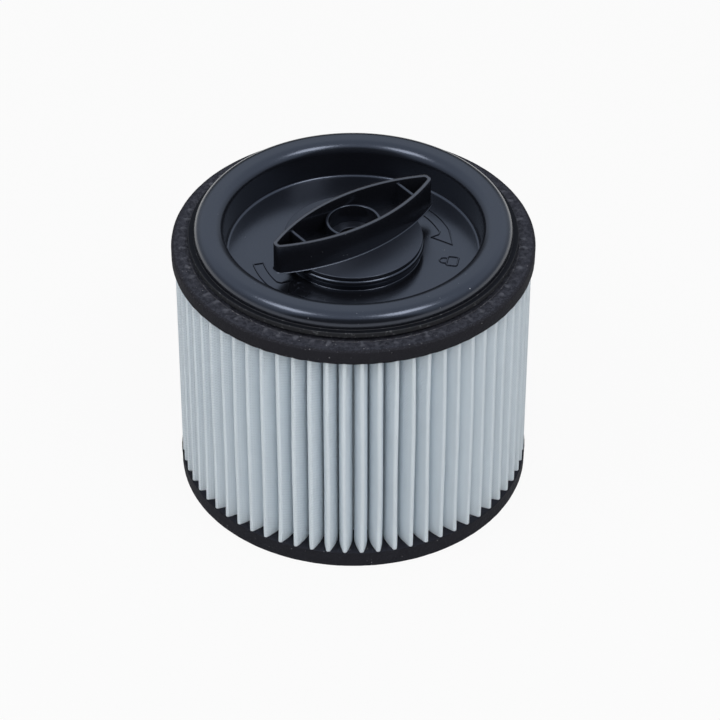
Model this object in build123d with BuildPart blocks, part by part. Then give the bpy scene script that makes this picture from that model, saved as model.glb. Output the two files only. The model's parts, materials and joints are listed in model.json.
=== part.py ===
from build123d import *
import os
from math import acos, degrees, pi

# Pleated filter cartridge with a twist-lock lid, in millimetres.
# The origin is the middle of the lower end cap's under face, and +Z is up.

# Cartridge: two soft end caps with one bore through both, which reach past the pleats' tips
cartridge_height = 134.5
bore_radius = 65.0
upper_cap_height = 7.2
upper_cap_margin = 1.8
lower_cap_height = 8.7
lower_cap_margin = 0.5
cap_edge_round = 0.8

# Lattice tube behind the pleats
core_inset = 1.7
core_wall = 1.5
core_columns = 24
core_rows = 3
core_bar = 3.5
core_ring = 5.0

# Folded sheet: the depth is from its inner face at the roots to its outer face at the tips
pleat_count = 66
pleat_clearance = 0.4
pleat_depth = 17.6
sheet_thickness = 0.6
tip_fold_radius = 1.5
root_fold_radius = 0.5

# Lid: heights are above or below the upper end cap's face, which carries the lid's foot
lid_wall = 2.0
plug_clearance = 0.4
plug_wall = 2.9
plug_round = 1.6
floor_depth = 6.5
floor_round = 0.8
mouth_flare = 0.7
rim_width = 14.4
rim_height = 11.6
rim_outer_round = 5.5
rim_inner_round = 5.5
flange_reach = 2.7
flange_under = 2.0
flange_thickness = 2.6
flange_round = 0.8
hub_radius = 34.4
bead_height = 3.4
bead_round = 1.4
neck_inset = 1.8
neck_round = 0.6
rib_count = 12
rib_thickness = 1.6
rib_depth = 4.0
web_count = 16

# Knob: a disc on the lid's hub, a hollow lens-shaped handle and a hollow stem through the hub
disc_inset = 0.8
disc_thickness = 1.7
disc_gap = 0.3
disc_round = 0.5
handle_angle = 37.2
handle_height = 15.4
handle_sink = 0.3
handle_half_length = 46.3
handle_half_width = 13.9
handle_flare = 0.5
handle_tip_width = 4.2
handle_tip_round = 0.9
handle_wall = 1.9
handle_floor = 1.5
cross_rib_offset = 32.0
cross_rib_thickness = 1.6
cross_rib_drop = 1.5
well_radius = 13.4
well_wall = 1.6
well_drop = 5.9
stem_radius = 10.0
stem_wall = 3.0
stem_floor = 2.5
stem_clearance = 0.06
bearing_wall = 2.5
bearing_depth = 18.0

# Bayonet key on the stem's square end
key_gap = 0.3
key_radius = 14.0
key_height = 9.0
lug_reach = 24.0
lug_width = 12.0
lug_thickness = 4.0
lug_lead_in = 1.2
drive_width = 10.0
drive_depth = 5.0
drive_clearance = 0.1

# Screw, washer and seal
screw_radius = 2.0
screw_clearance = 0.3
thread_clearance = 0.05
screw_tip_inset = 0.5
screw_head_radius = 4.2
screw_head_height = 2.6
screw_head_round = 1.2
recess_length = 4.6
recess_width = 1.0
recess_depth = 1.4
washer_clearance = 1.0
washer_thickness = 0.8
seal_section_radius = 0.8
seal_clearance = 0.02
groove_depth = 1.6
groove_height = 2.0
groove_drop = 6.0

# Radii from the bore outwards
core_radius = bore_radius + core_inset + core_wall
pleat_root_radius = core_radius + pleat_clearance
pleat_tip_radius = pleat_root_radius + pleat_depth
upper_cap_radius = pleat_tip_radius + upper_cap_margin
lower_cap_radius = pleat_tip_radius + lower_cap_margin
plug_radius = bore_radius - plug_clearance
floor_radius = plug_radius - plug_wall
mouth_radius = floor_radius + mouth_flare
rim_radius = mouth_radius + rim_width
flange_radius = rim_radius + flange_reach
disc_radius = hub_radius - disc_inset
bearing_radius = stem_radius + stem_clearance
stem_bore_radius = stem_radius - stem_wall
groove_radius = stem_radius - groove_depth

# Heights that more than one piece uses
cap_top = cartridge_height
pleat_height = cartridge_height - upper_cap_height - lower_cap_height
hub_top = cap_top - disc_gap / 2
disc_foot = hub_top + disc_gap
disc_top = disc_foot + disc_thickness
handle_foot = disc_top - handle_sink
handle_floor_top = handle_foot + handle_floor
handle_top = disc_top + handle_height
well_top = handle_top - well_drop
bearing_end = cap_top - bearing_depth
key_top = bearing_end - key_gap
key_foot = key_top - key_height
stem_floor_top = key_top + stem_floor
groove_middle = hub_top - groove_drop


def radial_plane(angle, height):
    """Upright plane through the axis: its x runs outwards at the angle, and its y runs up."""
    outwards = Vector(1, 0, 0).rotate(Axis.Z, angle)
    return Plane((0, 0, height), x_dir=outwards, z_dir=outwards.cross(Vector(0, 0, 1)))


def radial_planes(count, height):
    """Upright planes through the axis, evenly spaced round it."""
    return [radial_plane(turn * 360 / count, height) for turn in range(count)]


def handle_plane(height):
    """Level plane whose x runs along the handle."""
    return Plane((0, 0, height), x_dir=Vector(1, 0, 0).rotate(Axis.Z, handle_angle), z_dir=(0, 0, 1))


def cap_ring(radius, height, pleat_side):
    """Flat ring round the bore, built out from the pleats, with a rounded edge on its free face."""
    with BuildPart() as ring:
        with BuildSketch(pleat_side):
            Circle(radius)
            Circle(bore_radius, mode=Mode.SUBTRACT)
        extrude(amount=height)
        free_edges = ring.faces().sort_by(pleat_side.location.z_axis)[-1].edges()
        fillet(free_edges.sort_by(SortBy.RADIUS)[-1], cap_edge_round)
    return ring


# End caps
pleats_foot = Plane((0, 0, lower_cap_height), z_dir=(0, 0, -1))
pleats_top = Plane((0, 0, cap_top - upper_cap_height))
lower_cap = cap_ring(lower_cap_radius, lower_cap_height, pleats_foot)
upper_cap = cap_ring(upper_cap_radius, upper_cap_height, pleats_top)


# Folded sheet. A flank is the straight line that touches the tip fold on one side and the root fold
# on the other, so both faces of the sheet have the same flank normal.
pleat_angle = 360 / pleat_count
tip_bend = tip_fold_radius - sheet_thickness / 2
root_bend = root_fold_radius + sheet_thickness / 2
tip_middle = Vector(pleat_tip_radius - tip_fold_radius, 0)
root_distance = pleat_root_radius + sheet_thickness + root_fold_radius
root_middle = Vector(root_distance, 0).rotate(Axis.Z, pleat_angle / 2)
to_root = root_middle - tip_middle
flank_turn = degrees(acos((tip_bend + root_bend) / to_root.length))
flank_normal = to_root.normalized().rotate(Axis.Z, -flank_turn)


def folded_face(shift):
    """Face inside the folded line that lies the shift outside the middle of the sheet."""
    tip_radius = tip_bend + shift
    root_radius = root_bend - shift
    flank_start = tip_middle + flank_normal * tip_radius
    flank_end = root_middle - flank_normal * root_radius
    far_start = Vector(flank_start.X, -flank_start.Y)
    far_end = Vector(flank_end.X, -flank_end.Y)
    tip = tip_middle + Vector(tip_radius, 0)
    root = root_middle - root_middle.normalized() * root_radius
    with BuildLine() as pleat:
        Line(far_end, far_start)
        ThreePointArc(far_start, tip, flank_start)
        Line(flank_start, flank_end)
        ThreePointArc(flank_end, root, far_end.rotate(Axis.Z, pleat_angle))
    with BuildSketch() as face:
        with BuildLine():
            with PolarLocations(0, pleat_count):
                add(pleat.edges())
        make_face()
    return face.sketch


with BuildPart() as pleats:
    with BuildSketch(Plane.XY.offset(lower_cap_height)):
        add(folded_face(sheet_thickness / 2))
        add(folded_face(-sheet_thickness / 2), mode=Mode.SUBTRACT)
    extrude(amount=pleat_height)


# Lattice tube with rows of windows between its bars and rings
window_width = 2 * pi * core_radius / core_columns - core_bar
window_height = (pleat_height - (core_rows + 1) * core_ring) / core_rows

with BuildPart() as core:
    with BuildSketch(Plane.XY.offset(lower_cap_height)):
        Circle(core_radius)
        Circle(core_radius - core_wall, mode=Mode.SUBTRACT)
    extrude(amount=pleat_height)
    for row in range(core_rows):
        row_middle = lower_cap_height + core_ring + window_height / 2 + row * (window_height + core_ring)
        with Locations((0, 0, row_middle)):
            with PolarLocations(core_radius, core_columns):
                Box(4 * core_wall, window_width, window_height, mode=Mode.SUBTRACT)


# Lid: one turned section, from the hub out over the dish and the rim and back underneath
floor_under = -floor_depth - lid_wall
flange_top = flange_under + flange_thickness
hub_height = hub_top - cap_top
bead_foot = hub_height - bead_height
neck_radius = hub_radius - neck_inset
wall_lean = mouth_flare / (rim_height + floor_depth)
channel_top = rim_height - lid_wall
channel_inner = floor_radius + wall_lean * (channel_top + floor_depth) + lid_wall
channel_outer = rim_radius - lid_wall
bearing_outer = bearing_radius + bearing_wall

lid_corners = [
    ((bearing_radius, hub_height), 0),
    ((hub_radius, hub_height), bead_round),
    ((hub_radius, bead_foot), bead_round),
    ((neck_radius, bead_foot), 0),
    ((neck_radius, -floor_depth), neck_round),
    ((floor_radius, -floor_depth), floor_round),
    ((mouth_radius, rim_height), rim_inner_round),
    ((rim_radius, rim_height), rim_outer_round),
    ((rim_radius, flange_top), 0),
    ((flange_radius, flange_top), flange_round),
    ((flange_radius, flange_under), flange_round),
    ((rim_radius, flange_under), 0),
    ((rim_radius, 0), 0),
    ((channel_outer, 0), 0),
    ((channel_outer, channel_top), rim_outer_round - lid_wall),
    ((channel_inner, channel_top), rim_inner_round - lid_wall),
    ((plug_radius, 0), 0),
    ((plug_radius, floor_under), plug_round),
    ((neck_radius - lid_wall, floor_under), 0),
    ((neck_radius - lid_wall, hub_height - lid_wall), 0),
    ((bearing_outer, hub_height - lid_wall), 0),
    ((bearing_outer, -bearing_depth), 0),
    ((bearing_radius, -bearing_depth), 0),
]

with BuildPart() as lid:
    with BuildSketch(radial_plane(0, cap_top)):
        with BuildLine():
            FilletPolyline(
                [corner for corner, _ in lid_corners],
                radius=[corner_round for _, corner_round in lid_corners],
                close=True,
            )
        make_face()
    revolve(axis=Axis.Z)
    # Ribs under the floor run from the bearing tube to the plug
    with BuildSketch(*radial_planes(rib_count, cap_top)):
        with BuildLine():
            Polyline(
                (bearing_outer - bearing_wall / 2, floor_under + lid_wall / 2),
                (plug_radius - lid_wall / 2, floor_under + lid_wall / 2),
                (plug_radius - lid_wall, floor_under),
                (plug_radius - lid_wall - rib_depth, floor_under - rib_depth),
                (bearing_outer - bearing_wall / 2, floor_under - rib_depth),
                close=True,
            )
        make_face()
    extrude(amount=rib_thickness / 2, both=True)
    # Webs stiffen the channel under the rim
    with BuildSketch(*radial_planes(web_count, cap_top)):
        with BuildLine():
            Polyline(
                (channel_outer + lid_wall / 2, flange_under),
                (channel_outer + lid_wall / 2, channel_top - rim_outer_round / 2),
                (channel_outer - rim_outer_round / 2, channel_top + lid_wall / 2),
                (channel_inner + rim_inner_round / 2, channel_top + lid_wall / 2),
                (channel_inner - lid_wall / 2, channel_top - rim_inner_round / 2),
                (plug_radius - lid_wall / 2, flange_under),
                close=True,
            )
        make_face()
    extrude(amount=rib_thickness / 2, both=True)


# Knob
def handle_section(height, inset):
    """Lens-shaped section of the handle at a height, drawn in by the inset."""
    widening = handle_flare * (handle_top - height) / handle_height
    tip = handle_tip_width / 2 + widening / 2
    width = handle_half_width + widening
    with BuildSketch(handle_plane(height)) as section:
        with BuildLine():
            ThreePointArc((-handle_half_length, tip), (0, width), (handle_half_length, tip))
            Line((handle_half_length, tip), (handle_half_length, -tip))
            ThreePointArc((handle_half_length, -tip), (0, -width), (-handle_half_length, -tip))
            Line((-handle_half_length, -tip), (-handle_half_length, tip))
        make_face()
        if inset:
            offset(amount=-inset, kind=Kind.INTERSECTION, mode=Mode.REPLACE)
        else:
            fillet(section.vertices(), handle_tip_round)
    return section.sketch


# Hollow of the handle, which leaves its cross ribs and the round well in its middle
with BuildPart() as hollow:
    loft([handle_section(handle_floor_top, handle_wall), handle_section(handle_top, handle_wall)])
    with BuildSketch(handle_plane(handle_floor_top)):
        with Locations((-cross_rib_offset, 0), (cross_rib_offset, 0)):
            Rectangle(cross_rib_thickness, 2 * (handle_half_width + handle_flare))
    extrude(amount=handle_top - cross_rib_drop - handle_floor_top, mode=Mode.SUBTRACT)
    with BuildSketch(handle_plane(handle_floor_top)):
        Circle(well_radius)
    extrude(amount=well_top - handle_floor_top, mode=Mode.SUBTRACT)
    with BuildSketch(handle_plane(disc_top)):
        Circle(well_radius - well_wall)
    extrude(amount=well_top - disc_top)

with BuildPart() as knob:
    with BuildSketch(radial_plane(handle_angle, 0)):
        with BuildLine():
            FilletPolyline(
                (0, disc_top),
                (disc_radius, disc_top),
                (disc_radius, disc_foot),
                (stem_radius, disc_foot),
                (stem_radius, groove_middle + groove_height / 2),
                (groove_radius, groove_middle + groove_height / 2),
                (groove_radius, groove_middle - groove_height / 2),
                (stem_radius, groove_middle - groove_height / 2),
                (stem_radius, key_top),
                (0, key_top),
                radius=[0, disc_round, disc_round, 0, 0, 0, 0, 0, 0, 0],
                close=True,
            )
        make_face()
    revolve(axis=Axis.Z)
    loft([handle_section(handle_foot, 0), handle_section(handle_top, 0)])
    add(hollow.part, mode=Mode.SUBTRACT)
    with BuildSketch(handle_plane(key_top)):
        Rectangle(drive_width, drive_width)
    extrude(amount=-drive_depth)
    with BuildSketch(handle_plane(stem_floor_top)):
        Circle(stem_bore_radius)
    extrude(amount=disc_top - stem_floor_top, mode=Mode.SUBTRACT)
    with BuildSketch(handle_plane(stem_floor_top)):
        Circle(screw_radius + screw_clearance)
    extrude(amount=-(stem_floor + drive_depth), mode=Mode.SUBTRACT)


# Bayonet key with a square socket and two lugs
socket_depth = drive_depth + drive_clearance

with BuildPart() as key:
    with BuildSketch(handle_plane(key_foot)):
        Circle(key_radius)
    extrude(amount=key_height)
    with BuildSketch(handle_plane(key_foot)):
        Rectangle(2 * lug_reach, lug_width)
    extrude(amount=lug_thickness)
    lug_ends = key.faces().sort_by(handle_plane(0).location.x_axis)
    chamfer([lug_ends[0].edges().sort_by(Axis.Z)[0], lug_ends[-1].edges().sort_by(Axis.Z)[0]], lug_lead_in)
    with BuildSketch(handle_plane(key_top)):
        Rectangle(drive_width + 2 * drive_clearance, drive_width + 2 * drive_clearance)
    extrude(amount=-socket_depth, mode=Mode.SUBTRACT)
    with BuildSketch(handle_plane(key_foot)):
        Circle(screw_radius + thread_clearance)
    extrude(amount=key_height, mode=Mode.SUBTRACT)


# Screw, washer and seal
head_foot = stem_floor_top + washer_thickness
screw_tip = key_foot + screw_tip_inset

with BuildPart() as screw:
    with BuildSketch(handle_plane(head_foot)):
        Circle(screw_head_radius)
    extrude(amount=screw_head_height)
    fillet(screw.edges().sort_by(Axis.Z)[-1], screw_head_round)
    with BuildSketch(handle_plane(head_foot + screw_head_height)):
        Rectangle(recess_length, recess_width)
        Rectangle(recess_width, recess_length)
    extrude(amount=-recess_depth, mode=Mode.SUBTRACT)
    with BuildSketch(handle_plane(screw_tip)):
        Circle(screw_radius)
    extrude(amount=head_foot - screw_tip)

with BuildPart() as washer:
    with BuildSketch(handle_plane(stem_floor_top)):
        Circle(stem_bore_radius - washer_clearance)
        Circle(screw_radius + screw_clearance, mode=Mode.SUBTRACT)
    extrude(amount=washer_thickness)

with BuildPart() as seal:
    with Locations((0, 0, groove_middle)):
        Torus(groove_radius + seal_clearance + seal_section_radius, seal_section_radius)


# One file for each piece
pieces = {
    "pleat_pack": pleats,
    "support_core": core,
    "upper_end_cap": upper_cap,
    "lower_end_cap": lower_cap,
    "lid": lid,
    "lock_knob": knob,
    "bayonet_key": key,
    "knob_screw": screw,
    "screw_washer": washer,
    "shaft_seal": seal,
}
os.makedirs("parts", exist_ok=True)
for label, piece in pieces.items():
    piece.part.label = label
    export_step(piece.part, f"parts/{label}.step")
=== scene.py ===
# %% [markdown]
# # A pleated vacuum filter with a twist-lock lid
#
# The object is a round filter cartridge: a folded white sheet between two soft black end caps, closed
# on top by a black moulded lid with a twist knob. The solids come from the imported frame. This lesson
# gives each of them its finish, and rebuilds the visible ones as finer meshes of the same form, so
# that rounded edges catch the light as they do on a real moulding.

# %% Load the frame
import json
import math
import random

import bmesh
import bpy
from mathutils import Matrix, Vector, noise


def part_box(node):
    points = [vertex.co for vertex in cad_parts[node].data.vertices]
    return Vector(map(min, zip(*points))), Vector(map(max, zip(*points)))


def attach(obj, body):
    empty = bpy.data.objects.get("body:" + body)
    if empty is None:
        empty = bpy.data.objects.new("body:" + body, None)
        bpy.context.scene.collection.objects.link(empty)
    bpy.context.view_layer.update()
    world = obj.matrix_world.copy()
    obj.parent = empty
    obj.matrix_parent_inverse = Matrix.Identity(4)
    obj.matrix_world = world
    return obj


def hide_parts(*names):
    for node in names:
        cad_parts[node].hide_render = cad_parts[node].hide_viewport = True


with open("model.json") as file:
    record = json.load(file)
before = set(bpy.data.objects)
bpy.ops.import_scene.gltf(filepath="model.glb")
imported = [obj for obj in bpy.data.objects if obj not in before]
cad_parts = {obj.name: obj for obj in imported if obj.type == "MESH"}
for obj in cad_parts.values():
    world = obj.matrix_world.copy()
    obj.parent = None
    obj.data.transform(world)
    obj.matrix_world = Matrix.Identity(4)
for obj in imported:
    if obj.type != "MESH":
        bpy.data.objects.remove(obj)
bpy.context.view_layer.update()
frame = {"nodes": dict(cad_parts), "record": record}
METRES = 0.001
print("nodes:", ", ".join(sorted(frame["nodes"])))

# %% [markdown]
# ## Sizes
#
# Every length below is in millimetres, as on a drawing, and meshes are scaled to metres when they are
# made. What the frame can tell is read from it, so the pieces stay where the solids are.

# %% Read the main sizes from the frame
def node_box(node):
    """Lowest and highest corner of a CAD node in millimetres."""
    low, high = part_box(node)
    return low / METRES, high / METRES


upper_low, upper_high = node_box("upper_end_cap")
lower_low, lower_high = node_box("lower_end_cap")
pleat_low, pleat_high = node_box("pleat_pack")
lid_low, lid_high = node_box("lid")
knob_low, knob_high = node_box("lock_knob")
seal_low, seal_high = node_box("shaft_seal")

bore_mount = next(mount for mount in frame["record"]["mounts"] if mount["kind"] == "bore")
bore_radius = bore_mount["dims"]["r_mm"]
cap_top = upper_high.z
pleat_tip_radius = pleat_high.x
print("cap top", round(cap_top, 2), "bore radius", bore_radius, "pleat tips", round(pleat_tip_radius, 2))

# %% [markdown]
# ## Mesh helpers
#
# Most of this object was turned or moulded round one axis, so one helper turns a section into a mesh.
# A section is written as its corners, each with the radius of its round, which is how a drawing gives
# it. A Screw modifier on a curve would turn it too, but plain code keeps the seam closed and lets a
# round have as many steps as it needs.

# %% Rounded sections
def rounded(corners, steps=6):
    """Points of a closed section from its corners, each a ((radius, height), round) pair."""
    points = []
    for index, (corner, size) in enumerate(corners):
        corner = Vector(corner)
        if size <= 0:
            points.append(corner)
            continue
        before = (Vector(corners[index - 1][0]) - corner).normalized()
        after = (Vector(corners[(index + 1) % len(corners)][0]) - corner).normalized()
        half = before.angle(after) / 2
        middle = corner + (before + after).normalized() * size / math.sin(half)
        start = corner + before * size / math.tan(half) - middle
        end = corner + after * size / math.tan(half) - middle
        sweep = start.angle_signed(end)
        for step in range(steps + 1):
            turn = -sweep * step / steps
            points.append(middle + Vector((
                start.x * math.cos(turn) - start.y * math.sin(turn),
                start.x * math.sin(turn) + start.y * math.cos(turn),
            )))
    return points


def turned(section, segments, start_angle=0.0):
    """Vertices and faces of a closed section of (radius, height) points turned round the Z axis."""
    vertices = []
    for segment in range(segments):
        angle = start_angle + 2 * math.pi * segment / segments
        for point in section:
            vertices.append((point[0] * math.cos(angle), point[0] * math.sin(angle), point[1]))
    count = len(section)
    faces = []
    for segment in range(segments):
        here = segment * count
        there = (segment + 1) % segments * count
        for index in range(count):
            onward = (index + 1) % count
            faces.append((here + index, there + index, there + onward, here + onward))
    return vertices, faces


# %% Plates and loops
def plate(outline, angle, thickness):
    """A flat plate: an outline of (along, height) points stood up at an angle round the axis."""
    along = Vector((math.cos(angle), math.sin(angle), 0))
    across = Vector((-math.sin(angle), math.cos(angle), 0)) * thickness / 2
    near = [along * point[0] + Vector((0, 0, point[1])) - across for point in outline]
    far = [vertex + 2 * across for vertex in near]
    count = len(outline)
    faces = [tuple(range(count)), tuple(reversed(range(count, 2 * count)))]
    for index in range(count):
        onward = (index + 1) % count
        faces.append((index, index + count, onward + count, onward))
    return [tuple(vertex) for vertex in near + far], faces


def skinned(loops, close_first=False, close_last=False):
    """Faces between loops that have the same number of points."""
    count = len(loops[0])
    vertices = [tuple(point) for loop in loops for point in loop]
    faces = []
    for row in range(len(loops) - 1):
        for index in range(count):
            onward = (index + 1) % count
            low = row * count
            high = low + count
            faces.append((low + index, low + onward, high + onward, high + index))
    if close_first:
        faces.append(tuple(reversed(range(count))))
    if close_last:
        last = (len(loops) - 1) * count
        faces.append(tuple(range(last, last + count)))
    return vertices, faces


# %% One object from several shapes
def make_piece(name, shapes, body, replaced=(), sharp_degrees=35):
    """One named object from (vertices, faces) shapes in millimetres, riding on a body of the frame."""
    vertices = []
    faces = []
    for shape_vertices, shape_faces in shapes:
        offset = len(vertices)
        vertices.extend([Vector(vertex) * METRES for vertex in shape_vertices])
        faces.extend([tuple(index + offset for index in face) for face in shape_faces])
    mesh = bpy.data.meshes.new(name)
    mesh.from_pydata(vertices, [], faces)
    shell = bmesh.new()
    shell.from_mesh(mesh)
    bmesh.ops.recalc_face_normals(shell, faces=shell.faces)
    shell.to_mesh(mesh)
    shell.free()
    mesh.shade_smooth()
    mesh.set_sharp_from_angle(angle=math.radians(sharp_degrees))
    piece = bpy.data.objects.new(name, mesh)
    bpy.context.scene.collection.objects.link(piece)
    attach(piece, body)
    if replaced:
        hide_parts(*replaced)
    mesh.calc_loop_triangles()
    print(name, "triangles:", len(mesh.loop_triangles))
    return piece


# %% [markdown]
# ## End caps
#
# The caps are foamed rubber, poured into a ring mould with the pleats standing in it. The mould leaves
# a soft rounded edge, and the foam shrinks a little between the pleats, so the wall against the sheet
# isn't quite even. On the free face of the upper cap, the ends of the pleats lift the skin into a ring
# of short ridges with lumps between them. A Displace modifier could raise such a skin from a texture,
# but the ridges have to stand over the pleats, so a formula lifts the points of a turned ring instead.
# The wall only ever goes inwards and the ridges end far below the rim, so the dressed filter stays
# inside the solids' box.

# %% Skin of the foam
pleat_count = 66
cap_radius = upper_high.x
skin_inner = cap_radius - 9.0
skin_outer = cap_radius - 1.2
skin_fades = (1.0, 0.8)
lump_height = 0.45
lump_size = 2.3
ridge_inner = cap_radius - 8.4
ridge_outer = cap_radius - 3.1
ridge_fades = (1.0, 1.5)
ridge_height = 0.7
ridge_least = 0.35
ridge_waver = 0.6
ridge_edge = (0.5, 0.95)
patch_size = 9
patch_edge = (-0.4, 0.4)


def soft_step(value, low, high):
    """0 below the low value, 1 above the high value and a soft step between them."""
    share = min(max((value - low) / (high - low), 0.0), 1.0)
    return share * share * (3 - 2 * share)


def soft_band(value, low, high, fades):
    """1 between a low and a high value, fading to 0 at each of them over a width of its own."""
    low_fade, high_fade = fades
    return soft_step(value, low, low + low_fade) * (1 - soft_step(value, high - high_fade, high))


def skin_rise(x, y):
    """Height of the free skin over the cap's flat face: a ridge over each pleat's end, and soft lumps."""
    place = Vector((x, y, 0))
    radius = place.length
    turn = math.atan2(y, x) * pleat_count / (2 * math.pi)
    nearness = 1 - 2 * abs(turn - round(turn))
    lump = 0.5 + 0.5 * noise.noise(place / lump_size)
    patch = soft_step(noise.noise(place / patch_size), *patch_edge)
    ridge = soft_step(nearness + ridge_waver * (lump - 0.5), *ridge_edge)
    ridge *= ridge_least + (1 - ridge_least) * patch
    ridge *= soft_band(radius, ridge_inner, ridge_outer, ridge_fades)
    lump *= soft_band(radius, skin_inner, skin_outer, skin_fades)
    return ridge_height * ridge + lump_height * lump


print("raised skin from radius", round(skin_inner, 1), "to", round(skin_outer, 1))

# %% Cast the two rings
free_edge_round = 0.8
pleat_edge_round = 0.2
bore_edge_round = 0.5
cap_segments = 12 * pleat_count
skin_steps = 13
ripple_depth = 0.35
ripple_reach = 2
ripple_size = 7
ripple_share = 0.6
crinkle_size = 2.2
scallop_height = 0.45
scallop_size = 5
scallop_reach = 1
face_margin = 0.01


def foam_noise(angle, height, size):
    """Soft noise from 0 to 1 on a cap's outer wall, whose lumps have a size in millimetres."""
    place = Vector((math.cos(angle), math.sin(angle), 0)) * (pleat_tip_radius / size)
    return 0.5 + 0.5 * noise.noise(place + Vector((0, 0, height / size)))


def cast_ring(name, low, high, replaced, pleats_above):
    """A foam ring between two heights, rippled inwards and scalloped where it meets the pleats."""
    foot_round = free_edge_round if pleats_above else pleat_edge_round
    top_round = pleat_edge_round if pleats_above else free_edge_round
    skin = [skin_outer + (skin_inner - skin_outer) * step / skin_steps for step in range(skin_steps + 1)]
    section = rounded([
        ((bore_radius, low.z), bore_edge_round),
        ((high.x, low.z), foot_round),
        ((high.x, high.z), top_round),
        *[((radius, high.z), 0) for radius in skin],
        ((bore_radius, high.z), bore_edge_round),
    ])
    vertices, faces = turned(section, cap_segments)
    rippled = []
    for x, y, z in vertices:
        radius = math.hypot(x, y)
        angle = math.atan2(y, x)
        outness = max(0.0, (radius - high.x + ripple_reach) / ripple_reach)
        ripple = ripple_share * foam_noise(angle, z, ripple_size)
        ripple += (1 - ripple_share) * foam_noise(angle, z, crinkle_size)
        scale = 1 - outness * ripple_depth * ripple / radius
        depth = (high.z - z) if pleats_above else (z - low.z)
        lift = scallop_height * max(0.0, 1 - depth / scallop_reach) * foam_noise(angle, 0, scallop_size)
        lift *= 0.5 + 0.5 * math.cos(angle * pleat_count)
        height = z - lift * outness if pleats_above else z + lift * outness
        if not pleats_above and z > high.z - face_margin and skin_inner < radius < skin_outer:
            height += skin_rise(x, y)
        rippled.append((x * scale, y * scale, max(height, 0.0)))
    return make_piece(name, [(rippled, faces)], "cartridge", [replaced])


upper_ring = cast_ring("foam_ring_upper", upper_low, upper_high, "upper_end_cap", pleats_above=False)
lower_ring = cast_ring("foam_ring_lower", lower_low, lower_high, "lower_end_cap", pleats_above=True)

# %% [markdown]
# ## Folded sheet
#
# One non-woven sheet is scored, folded like an accordion and closed into a ring. Half a pleat is a
# round tip, a flank and a tight root. The flanks of a real sheet spring outwards, so they bow, and no
# two folds are quite alike, so each pleat leans, opens and sways by a few tenths of a millimetre
# between the caps, where the foam holds it in its place. A wave texture on a plain tube would give the
# stripes but not the bright tips and dark valleys, so the folds are real.

# %% One pleat
pleat_depth = 17.6
sheet_thickness = 0.6
tip_fold_radius = 1.15
root_fold_radius = 0.5
flank_bow = 1.15
tip_steps = 8
flank_steps = 6
root_steps = 5

pleat_root_radius = pleat_tip_radius - pleat_depth
half_pitch = math.pi / pleat_count
tip_bend = tip_fold_radius - sheet_thickness / 2
root_bend = root_fold_radius + sheet_thickness / 2
tip_middle = Vector((pleat_tip_radius - tip_fold_radius, 0))
root_distance = pleat_root_radius + sheet_thickness + root_fold_radius
root_middle = Vector((math.cos(half_pitch), math.sin(half_pitch))) * root_distance


def on_circle(middle, radius, angle):
    """Point of a circle at an angle."""
    return middle + Vector((math.cos(angle), math.sin(angle))) * radius


def half_pleat():
    """Points of the sheet's middle line from a tip to the next root."""
    to_root = root_middle - tip_middle
    heading = math.atan2(to_root.y, to_root.x)
    facing = heading - math.acos((tip_bend + root_bend) / to_root.length)
    line = [on_circle(tip_middle, tip_bend, facing * step / tip_steps) for step in range(tip_steps)]
    start = on_circle(tip_middle, tip_bend, facing)
    end = on_circle(root_middle, -root_bend, facing)
    bow = Vector((math.cos(facing), math.sin(facing))) * flank_bow
    for step in range(flank_steps + 1):
        share = step / flank_steps
        line.append(start.lerp(end, share) + bow * math.sin(math.pi * share))
    for step in range(1, root_steps + 1):
        turn = facing + (half_pitch - facing) * step / root_steps
        line.append(on_circle(root_middle, -root_bend, turn))
    return line


def whole_pleat():
    """Middle line of one pleat from root to root."""
    half = half_pleat()
    mirrored = [Vector((point.x, -point.y)) for point in reversed(half[1:])]
    return mirrored[1:] + half


pleat_line = whole_pleat()
print("points across a pleat:", len(pleat_line))

# %% Sway of the pleats
pleat_lean = 0.45
pleat_opening = 0.07
sway_share = 0.5
sway_turn = 5
phase_range = 6.28
cap_hold = 0.6
wander = random.Random(7)

pleat_moods = []
for _ in range(pleat_count):
    pleat_moods.append((wander.uniform(-1, 1), wander.uniform(-1, 1), wander.uniform(0, phase_range)))


def sheet_loop(height_share):
    """Middle line of the whole sheet at a share of its height."""
    freedom = math.sin(math.pi * height_share) ** cap_hold if 0 < height_share < 1 else 0.0
    loop = []
    for pleat, (lean, opening, phase) in enumerate(pleat_moods):
        sway = pleat_lean * freedom * (lean + sway_share * math.sin(phase + sway_turn * height_share))
        widening = pleat_opening * freedom * opening
        angle = 2 * half_pitch * pleat
        for point in pleat_line:
            outness = (point.x - pleat_root_radius) / pleat_depth
            side = point.y * (1 + widening * 4 * outness * (1 - outness)) + sway * outness ** 2
            loop.append(Vector((
                point.x * math.cos(angle) - side * math.sin(angle),
                point.x * math.sin(angle) + side * math.cos(angle),
            )))
    return loop


print("pleats that lean and sway:", len(pleat_moods))

# %% Both faces of the sheet
pleat_rows = 18


def sheet_faces_at(height_share):
    """Outer and inner loops of the sheet at a share of its height."""
    loop = sheet_loop(height_share)
    height = pleat_low.z + (pleat_high.z - pleat_low.z) * height_share
    outer = []
    inner = []
    for index, point in enumerate(loop):
        along = (loop[(index + 1) % len(loop)] - loop[index - 1]).normalized()
        normal = Vector((along.y, -along.x)) * sheet_thickness / 2
        outer.append((point.x + normal.x, point.y + normal.y, height))
        inner.append((point.x - normal.x, point.y - normal.y, height))
    return outer, inner


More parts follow.
